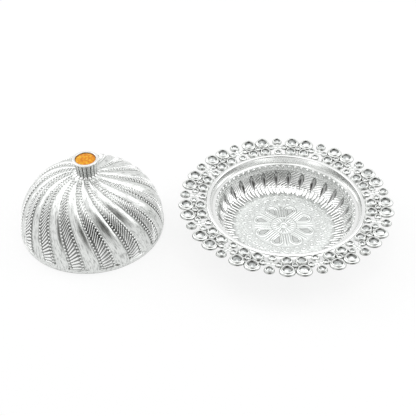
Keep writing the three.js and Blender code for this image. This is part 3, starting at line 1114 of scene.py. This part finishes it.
for number in range(LACE_REPEATS):
    motif = make_motif(number)
    dress(motif, lace_silver, "dish", "silver_plate", *(["lace_rim"] if number == 0 else []))
remove(link_model, *ring_models.values())
print("lace motifs:", LACE_REPEATS)

# %% [markdown]
# ## Stones of the rim
#
# Each ring holds a small stone cut as a low pyramid with a tiny flat on top. The facets stay flat
# and sharp, because they make the sparkle. Each stone sits at its own turn, tilted a little.

# %% Stone model
STONE_SIDES = 8
STONE_CLEARANCE = 0.1
STONE_RISE = 0.72
STONE_TURN = math.radians(137.5)
STONE_TILT = math.radians(5)
STONE_FACETS = ((1, 0.1), (0.6, 0.5), (0.4, 0.4))


def make_stone(name, size):
    """A stone for a ring: a straight girdle, a broad crown of facets and a small table."""
    girdle = ring_mouth(size["top"]) * CUP_SHARE - STONE_CLEARANCE
    rise = (size["rise"] - SEAT_LIFT) * STONE_RISE
    stone = disc(name, STONE_SIDES, girdle)
    begin_edit(stone)
    bpy.ops.transform.rotate(value=math.pi / STONE_SIDES, orient_axis="Z", center_override=(0, 0, 0))
    raise_facets(STONE_FACETS, rise)
    end_closed()
    return stone


def as_set(count):
    """The turn and slight tilt that a stone has in its glue, different for each."""
    turn = Matrix.Rotation(STONE_TURN * count, 4, "Z")
    return turn @ Matrix.Rotation(STONE_TILT, 4, "X")


stone_models = {name: make_stone(name + "_stone", size) for name, size in RINGS.items()}
print("stone models:", list(stone_models))

# %% Set the stones
OUTER_KINDS = ("large_outer", "small_outer")
outer_count = 0
inner_count = 0
for number in range(LACE_REPEATS):
    start = LACE_FIRST + number * REPEAT_TURN
    for kind, row, turn in motif_layout:
        place = lace_place(row, start + turn, SEAT_LIFT + 0.05) @ as_set(outer_count + inner_count)
        if kind in OUTER_KINDS:
            outer_count += 1
            stone = copies(f"outer_stone_{outer_count:02d}", stone_models[kind], [place])
            dress(stone, stone_glass, "dish", "foiled_stone", f"rim_stone_{outer_count:02d}")
        else:
            inner_count += 1
            stone = copies(f"inner_stone_{inner_count:02d}", stone_models[kind], [place])
            dress(stone, stone_glass, "dish", "foiled_stone")
remove(*stone_models.values())
print("stones:", outer_count, "outer,", inner_count, "inner")

# %% [markdown]
# ## The lid
#
# The lid is a dome with 15 plain rounded lobes that swirl down from the neck. Between them run
# braid bands: a row of beads along each edge, and slanted bars between. The dome is spun, its
# columns are turned to follow the swirl, and the bands are sunk between the rounded lobes.

# %% Dome curve
neck_low, neck_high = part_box("finial_neck")
LID_AXIS = Vector(((neck_low.x + neck_high.x) / 2, (neck_low.y + neck_high.y) / 2, 0))
CROWN_HEIGHT = neck_low.z / MM
BELLY_RADIUS = 61.5
DOME_TOP = 57.3
DOME_EXPONENT = 2.28
BORDER_HEIGHT = 4.0
LID_EDGE_RADIUS = 60.8
LID_WALL = 1.3
RELIEF_ROOM = 1.1
NECK_FLANGE = 10.4


def dome_radius(height, belly=BELLY_RADIUS, top=DOME_TOP):
    return belly * (1 - (height / top) ** DOME_EXPONENT) ** (1 / DOME_EXPONENT)


fine = np.linspace(0, 1, 400)
curve_heights = BORDER_HEIGHT + (CROWN_HEIGHT - BORDER_HEIGHT) * np.sin(fine * math.pi / 2)
curve_radii = dome_radius(curve_heights)
curve_steps = np.hypot(np.diff(curve_radii), np.diff(curve_heights))
curve_lengths = np.concatenate([[0], np.cumsum(curve_steps)])
DOME_LENGTH = curve_lengths[-1]


def dome_at(share):
    """Radius and height of the dome at a share of the way from its border to the crown."""
    length = np.asarray(share) * DOME_LENGTH
    return np.interp(length, curve_lengths, curve_radii), np.interp(length, curve_lengths, curve_heights)


def share_at(height):
    return np.interp(height, curve_heights, curve_lengths) / DOME_LENGTH


print("dome from border to crown:", round(float(DOME_LENGTH), 1), "mm")

# %% Swirl
SWIRL_COUNT = 15
SWIRL_PITCH = 360 / SWIRL_COUNT
SWIRL_FIRST = -71.7
SWIRL_TURN = 38
SWIRL_EXPONENT = 1.6
BAND_COLUMNS = 12
LOBE_COLUMNS = 28
SECTOR_COLUMNS = BAND_COLUMNS + LOBE_COLUMNS
BAND_FLOOR = -1.4
GROOVE = 0.3
CREST_EXPONENT = 1.4
CROWN_RELIEF = 0.35
ROW_TURN_CROWN = 2.5
ROW_TURN_SWELL = 2.7
SWELL_START = 0.33
SWELL_EXPONENT = 1.5
BEAD_FOOT = 1.05
BEAD_CROWN = 0.7
# Shares of dark shade painted round the braid's beads, between its bars and along the lid's foot.
ROW_PAINTED_SHADE = 0.86
BAR_PAINTED_SHADE = 0.74
FOOT_PAINTED_SHADE = 0.55
BAR_END = 0.62
STROKE_STRETCH = 3


def band_middle(share, number=0):
    return SWIRL_FIRST + SWIRL_PITCH * number - SWIRL_TURN * np.asarray(share) ** SWIRL_EXPONENT


def bead_turn(share):
    """Angle from a band's middle to either of its rows of beads, widest a quarter of the way up."""
    swell = np.sin(math.pi * (SWELL_START + (1 - SWELL_START) * np.clip(share, 0, 1)))
    return ROW_TURN_CROWN + ROW_TURN_SWELL * np.clip(swell, 0, 1) ** SWELL_EXPONENT


def bead_size(share):
    """Half width of a bead, which shrinks a little towards the crown."""
    return BEAD_FOOT + (BEAD_CROWN - BEAD_FOOT) * np.asarray(share)


def band_width(share):
    """Width of a braid band in degrees, which narrows towards the crown."""
    return 2 * (bead_turn(share) + np.degrees(1.1 * bead_size(share) / dome_at(share)[0]))


def relief_share(radius):
    """How deep the relief is: shallower near the crown, where the metal is less steep."""
    return CROWN_RELIEF + (1 - CROWN_RELIEF) * radius / BELLY_RADIUS


def dome_columns(piece):
    """Where the points of the spun dome lie before the swirl, and how far relief fades there."""
    radius, angle, height = around(points_of(piece))
    off_curve = np.abs(radius - dome_radius(np.clip(height, 0, DOME_TOP - 0.3)))
    outside = (height > BORDER_HEIGHT - 0.01) & (off_curve < 0.05)
    share = np.where(outside, share_at(height), 0)
    column = (angle % SWIRL_PITCH) / SWIRL_PITCH * SECTOR_COLUMNS
    fade = np.clip(share / 0.014, 0, 1) * np.clip((1 - share) / 0.03, 0, 1)
    return radius, angle, height, outside, share, column, fade


def paint_lid_shade(piece):
    """Painted shade round the beads, between the bars and in a line at the lid's foot."""
    radius, _, height, outside, share, column, fade = dome_columns(piece)
    from_middle = np.abs(column / BAND_COLUMNS - 0.5) * band_width(share)
    off_row = np.radians(from_middle - bead_turn(share)) * radius
    middle_zone = 0.35 + 0.65 * window(share, 0.1, 0.55, 0.3)
    on_row = ROW_PAINTED_SHADE * middle_zone * ridge(off_row, bead_size(share) * 1.2)
    between = BAR_PAINTED_SHADE * (from_middle < bead_turn(share)) * window(share, 0.02, BAR_END, 0.25)
    on_band = outside * fade * (column <= BAND_COLUMNS)
    foot = FOOT_PAINTED_SHADE * (radius > LID_EDGE_RADIUS - 1) * (height < 0.3)
    paint_shade(piece, on_band * np.maximum(on_row, between) + foot)


def lay_strokes(piece):
    """Writes where each point lies across and along the buffing strokes, which run down the lid."""
    _, angle, height, _, share, _, _ = dome_columns(piece)
    along = share * DOME_LENGTH / STROKE_STRETCH + np.minimum(height - BORDER_HEIGHT, 0)
    strokes = np.stack([np.radians(angle) * BELLY_RADIUS, along, 0 * share], 1)
    layer = piece.data.attributes.new("brush", "FLOAT_VECTOR", "POINT")
    layer.data.foreach_set("vector", (strokes * MM).ravel())


def swirl(piece):
    """Turns the dome's columns along the swirl and sinks the bands between the lobes."""
    radius, angle, height, _, share, column, fade = dome_columns(piece)
    band = band_width(share) / SWIRL_PITCH
    on_band = column <= BAND_COLUMNS
    place = np.where(on_band, (column / BAND_COLUMNS - 0.5) * band,
                     band / 2 + (1 - band) * (column - BAND_COLUMNS) / LOBE_COLUMNS)
    across = np.clip((column - BAND_COLUMNS) / LOBE_COLUMNS, 0, 1)
    lobe = BAND_FLOOR * np.abs(2 * across ** CREST_EXPONENT - 1) ** 2.2
    off_sides = np.minimum(column, SECTOR_COLUMNS - column)
    edge = ridge(np.minimum(np.abs(column - BAND_COLUMNS), off_sides), 0.9)
    rise = np.where(on_band, BAND_FLOOR, lobe) - GROOVE * edge
    number = np.floor((angle % 360) / SWIRL_PITCH)
    turned = np.radians(band_middle(share) + SWIRL_PITCH * (number + place))
    outward = np.interp(height, curve_heights, np.gradient(curve_heights, curve_lengths))
    upward = -np.interp(height, curve_heights, np.gradient(curve_radii, curve_lengths))
    depth = rise * fade * relief_share(radius)
    new_radius = radius + depth * outward
    new_height = height + depth * upward
    moved = np.stack([new_radius * np.cos(turned), new_radius * np.sin(turned), new_height], 1) * MM
    set_points(piece, moved)


print("swirl:", SWIRL_COUNT, "bands of", round(float(band_width(0)), 1), "degrees at the border")

# %% Lid dome
outer_run = list(zip(*(values.tolist() for values in dome_at(np.linspace(0, 1, 105)))))
inner_heights = (CROWN_HEIGHT - LID_WALL) * np.sin(np.linspace(1, 0.05, 14) * math.pi / 2)
inner_belly = BELLY_RADIUS - RELIEF_ROOM - LID_WALL
inner_run = [
    (float(dome_radius(height, inner_belly, CROWN_HEIGHT - LID_WALL + 0.4)), float(height))
    for height in inner_heights
]
lid_profile = [
    (0, CROWN_HEIGHT - LID_WALL),
    *inner_run,
    (LID_EDGE_RADIUS - LID_WALL, 0.2),
    (LID_EDGE_RADIUS - LID_WALL + 0.2, 0),
    (LID_EDGE_RADIUS - 0.15, 0),
    (LID_EDGE_RADIUS, 0.15),
    (LID_EDGE_RADIUS + 0.2, 1),
    (LID_EDGE_RADIUS + 0.4, 2.4),
    *outer_run,
    (0, CROWN_HEIGHT),
]
lid_shell = spun("lid_shell", lid_profile, SECTOR_COLUMNS, SWIRL_COUNT)
paint_lid_shade(lid_shell)
lay_strokes(lid_shell)
swirl(lid_shell)
shade(lid_shell, 32)
dress(shifted(lid_shell, LID_AXIS), brushed_silver, "lid", "silver_plate", "lid_dome")
print("lid shell:", len(lid_shell.data.polygons), "faces")

# %% [markdown]
# ## Braid bands
#
# A band is a row of beads on each side of slanted bars. A bead is a grain and a bar a short
# rounded rod, both drawn out to size. They follow the swirl at a pitch that tightens a little
# towards the crown, where only the beads have room.

# %% Braid
BRAID_PITCH = 3.0
BRAID_PITCH_CROWN = 2.5
BAR_TILT = math.radians(52)
BAR_HALF_LONG = 4.6
BAR_SHARE = 0.58
BAR_SHARE_FOOT = 0.74
BAR_RISE = 1.0
BAR_RISE_FOOT = 0.5
BAR_FOOT_END = 0.35
TILT_END = 0.33
BRAID_START = 0.018
BRAID_END = 0.985
LEAST_ROOM = 0.5


def make_bar():
    """A rounded bar, 2 mm long before it is drawn out, with eight sides and blunt ends."""
    bar = primitive("bar_model", bpy.ops.mesh.primitive_cylinder_add,
                    vertices=8, radius=MM, depth=1.6 * MM)
    begin_edit(bar)
    bpy.ops.transform.rotate(value=math.pi / 2, orient_axis="Y", center_override=(0, 0, 0))
    for way in (-1, 1):
        pick_faces(bar, lambda centre, normal: normal.x * way > 0.9)
        bpy.ops.mesh.extrude_region_move(TRANSFORM_OT_translate={"value": (way * 0.2 * MM, 0, 0)})
        bpy.ops.transform.resize(value=(1, 0.6, 0.6), center_override=(0, 0, 0))
    end_edit()
    shade(bar, 60)
    return bar


bar_model = make_bar()


def dome_frame(share, degrees):
    """A point on the dome, the way round the dome there, and the way off its surface."""
    radius, height = dome_at(share)
    after_radius, after_height = dome_at(min(share + 0.01, 1))
    before_radius, before_height = dome_at(max(share - 0.01, 0))
    angle = math.radians(float(degrees))
    spoke = Vector((math.cos(angle), math.sin(angle), 0))
    side = Vector((-spoke.y, spoke.x, 0))
    outward = float(after_radius - before_radius)
    upward = float(after_height - before_height)
    climb = Vector((outward, upward, 0)).normalized()
    up = spoke * climb.y - Vector((0, 0, climb.x))
    point = spoke * float(radius) + Vector((0, 0, float(height)))
    return point, side, up.normalized()


def braid_places(number):
    """Places of the beads and bars of one band."""
    beads = []
    bars = []
    share = BRAID_START
    while share < BRAID_END:
        pitch = BRAID_PITCH + (BRAID_PITCH_CROWN - BRAID_PITCH) * share
        radius = float(dome_at(share)[0])
        floor = BAND_FLOOR * relief_share(radius)
        middle = float(band_middle(share, number))
        bead = float(bead_size(share))
        turn = float(bead_turn(share))
        lean = math.radians(float(band_middle(share + 0.005) - band_middle(share - 0.005)))
        lean = math.atan2(lean * radius, 0.01 * DOME_LENGTH)
        for way in (-1, 1):
            point, side, up = dome_frame(share, middle + way * turn)
            centre = (point + up * (floor + bead * 0.5)) * MM
            beads.append(spread(centre, side, up, (bead, bead * 0.82, bead * 0.8), -lean))
        room = math.radians(turn) * radius - bead
        if room > LEAST_ROOM:
            point, side, up = dome_frame(share, middle)
            tilt = BAR_TILT * min(1, share / TILT_END)
            near_foot = max(0, 1 - share / BAR_FOOT_END)
            rise = BAR_RISE + (BAR_RISE_FOOT - BAR_RISE) * near_foot
            thin = (BAR_SHARE + (BAR_SHARE_FOOT - BAR_SHARE) * near_foot) / 2 * pitch * math.cos(tilt)
            long = min(room / math.cos(tilt) * 0.96, BAR_HALF_LONG)
            centre = (point + up * (floor + 0.2)) * MM
            bars.append(spread(centre, side, up, (long, thin, rise), tilt - lean))
        share += pitch / DOME_LENGTH * math.cos(lean)
    return beads, bars


for number in range(SWIRL_COUNT):
    beads, bars = braid_places(number)
    rows = copies("rows", grain, beads)
    band = joined(f"braid_band_{number + 1:02d}", [rows, copies("bars", bar_model, bars)])
    dress(shifted(band, LID_AXIS), bead_silver, "lid", "silver_plate")
remove(grain, bar_model)
print("braid bands:", SWIRL_COUNT, "with", len(beads), "beads and", len(bars), "bars each")

# %% [markdown]
# ## The finial
#
# A ribbed neck stands on the crown, wider at its head, with a scalloped flange at its foot and a
# smooth rim round the cup. The amber stone lies in the cup.

# %% Ribbed neck
RIB_COUNT = 18
RIB_STEPS = 14
RIB_DEPTH = 0.6
NECK_TOP = neck_high.z / MM
NECK_FOOT = 8.8
NECK_HEAD = 10.0
NECK_RIM = 10.55
CUP_RADIUS = 8.5
CUP_FLOOR = NECK_TOP - 2.3
RIB_LOW = CROWN_HEIGHT + 1.3
RIB_HIGH = NECK_TOP - 1.7
# Shares of dark shade painted between the ribs and down in the stone's cup.
GROOVE_PAINTED_SHADE = 0.9
NECK_CUP_PAINTED_SHADE = 0.5


def rib_wave(angle):
    """0 in the grooves between the ribs, and 1 on the ribs' crests."""
    return np.abs(np.sin(np.radians(angle) * RIB_COUNT / 2))


def rib_relief(radius, angle, height, normals):
    """Rounded ribs up the neck, and scallops round the flange below them."""
    wave = rib_wave(angle)
    outside = radius > CUP_RADIUS + 0.05
    ribs = -RIB_DEPTH * (1 - wave ** 0.7) * window(height, RIB_LOW, RIB_HIGH, 0.3)
    scallop = -0.45 * (1 - wave) * (height < CROWN_HEIGHT + 1.1) * (radius > NECK_FOOT + 0.4)
    return np.where(outside & (height > CROWN_HEIGHT + 0.05), ribs + scallop, 0)


neck_profile = [
    (0, CROWN_HEIGHT),
    (NECK_FLANGE - 0.1, CROWN_HEIGHT),
    *smooth_run([
        (NECK_FLANGE, CROWN_HEIGHT + 0.3), (NECK_FLANGE - 0.15, CROWN_HEIGHT + 0.8),
        (NECK_FOOT + 0.4, CROWN_HEIGHT + 1.15),
    ], 0.25),
    *smooth_run([
        (NECK_FOOT, RIB_LOW), (NECK_FOOT + 0.5, (RIB_LOW + RIB_HIGH) / 2), (NECK_HEAD, RIB_HIGH),
    ], 0.7),
    *smooth_run([
        (NECK_RIM - 0.25, NECK_TOP - 1.6), (NECK_RIM, NECK_TOP - 1.2), (NECK_RIM, NECK_TOP - 0.4),
        (NECK_RIM - 0.3, NECK_TOP), (CUP_RADIUS + 0.3, NECK_TOP), (CUP_RADIUS, NECK_TOP - 0.3),
    ], 0.3),
    (CUP_RADIUS, CUP_FLOOR),
    (0, CUP_FLOOR),
]


def neck_painted_shade(radius, angle, height):
    """Painted shade between the ribs and the scallops, and down in the cup."""
    low = np.clip(1.3 - 2.2 * rib_wave(angle), 0, 1)
    grooves = GROOVE_PAINTED_SHADE * low * window(height, CROWN_HEIGHT + 0.6, RIB_HIGH, 0.4)
    in_cup = NECK_CUP_PAINTED_SHADE * (height < NECK_TOP - 0.2)
    return np.where(radius > CUP_RADIUS + 0.05, grooves, in_cup)


finial_neck = spun("ribbed_neck", neck_profile, RIB_STEPS, RIB_COUNT)
paint_shade(finial_neck, neck_painted_shade(*around(points_of(finial_neck))))
emboss(finial_neck, rib_relief)
shade(finial_neck, 45)
dress(shifted(finial_neck, LID_AXIS), buffed_silver, "lid", "silver_plate", "finial_neck")
print("neck:", len(finial_neck.data.polygons), "faces")

# %% Amber stone
amber_low, amber_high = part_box("amber_stone")
AMBER_RADIUS = 8.2
AMBER_RISE = (amber_high.z - amber_low.z) / MM
AMBER_SIDES = 16
AMBER_FACETS = ((1, 0.7), (0.86, 0.17), (0.72, 0.09), (0.5, 0.04))


def make_amber():
    """The amber stone: a girdle, rings of broad facets and a wide table."""
    stone = disc("amber_cabochon", AMBER_SIDES, AMBER_RADIUS)
    begin_edit(stone)
    raise_facets(AMBER_FACETS, AMBER_RISE)
    end_closed()
    return shifted(stone, LID_AXIS + Vector((0, 0, amber_low.z)))


amber_stone = make_amber()
dress(amber_stone, amber, "lid", "amber_glass", "amber_stone")
print("amber stone made")

# %% [markdown]
# ## Screw and washer
#
# Inside the crown a screw and its washer hold the neck. Their plain solids already have the right
# shape, so they only get their finish.

# %% Screw and washer
for name in ("finial_screw", "finial_washer"):
    hidden = frame["nodes"][name]
    hidden.data.materials.clear()
    hidden.data.materials.append(steel)
print("screw and washer dressed")
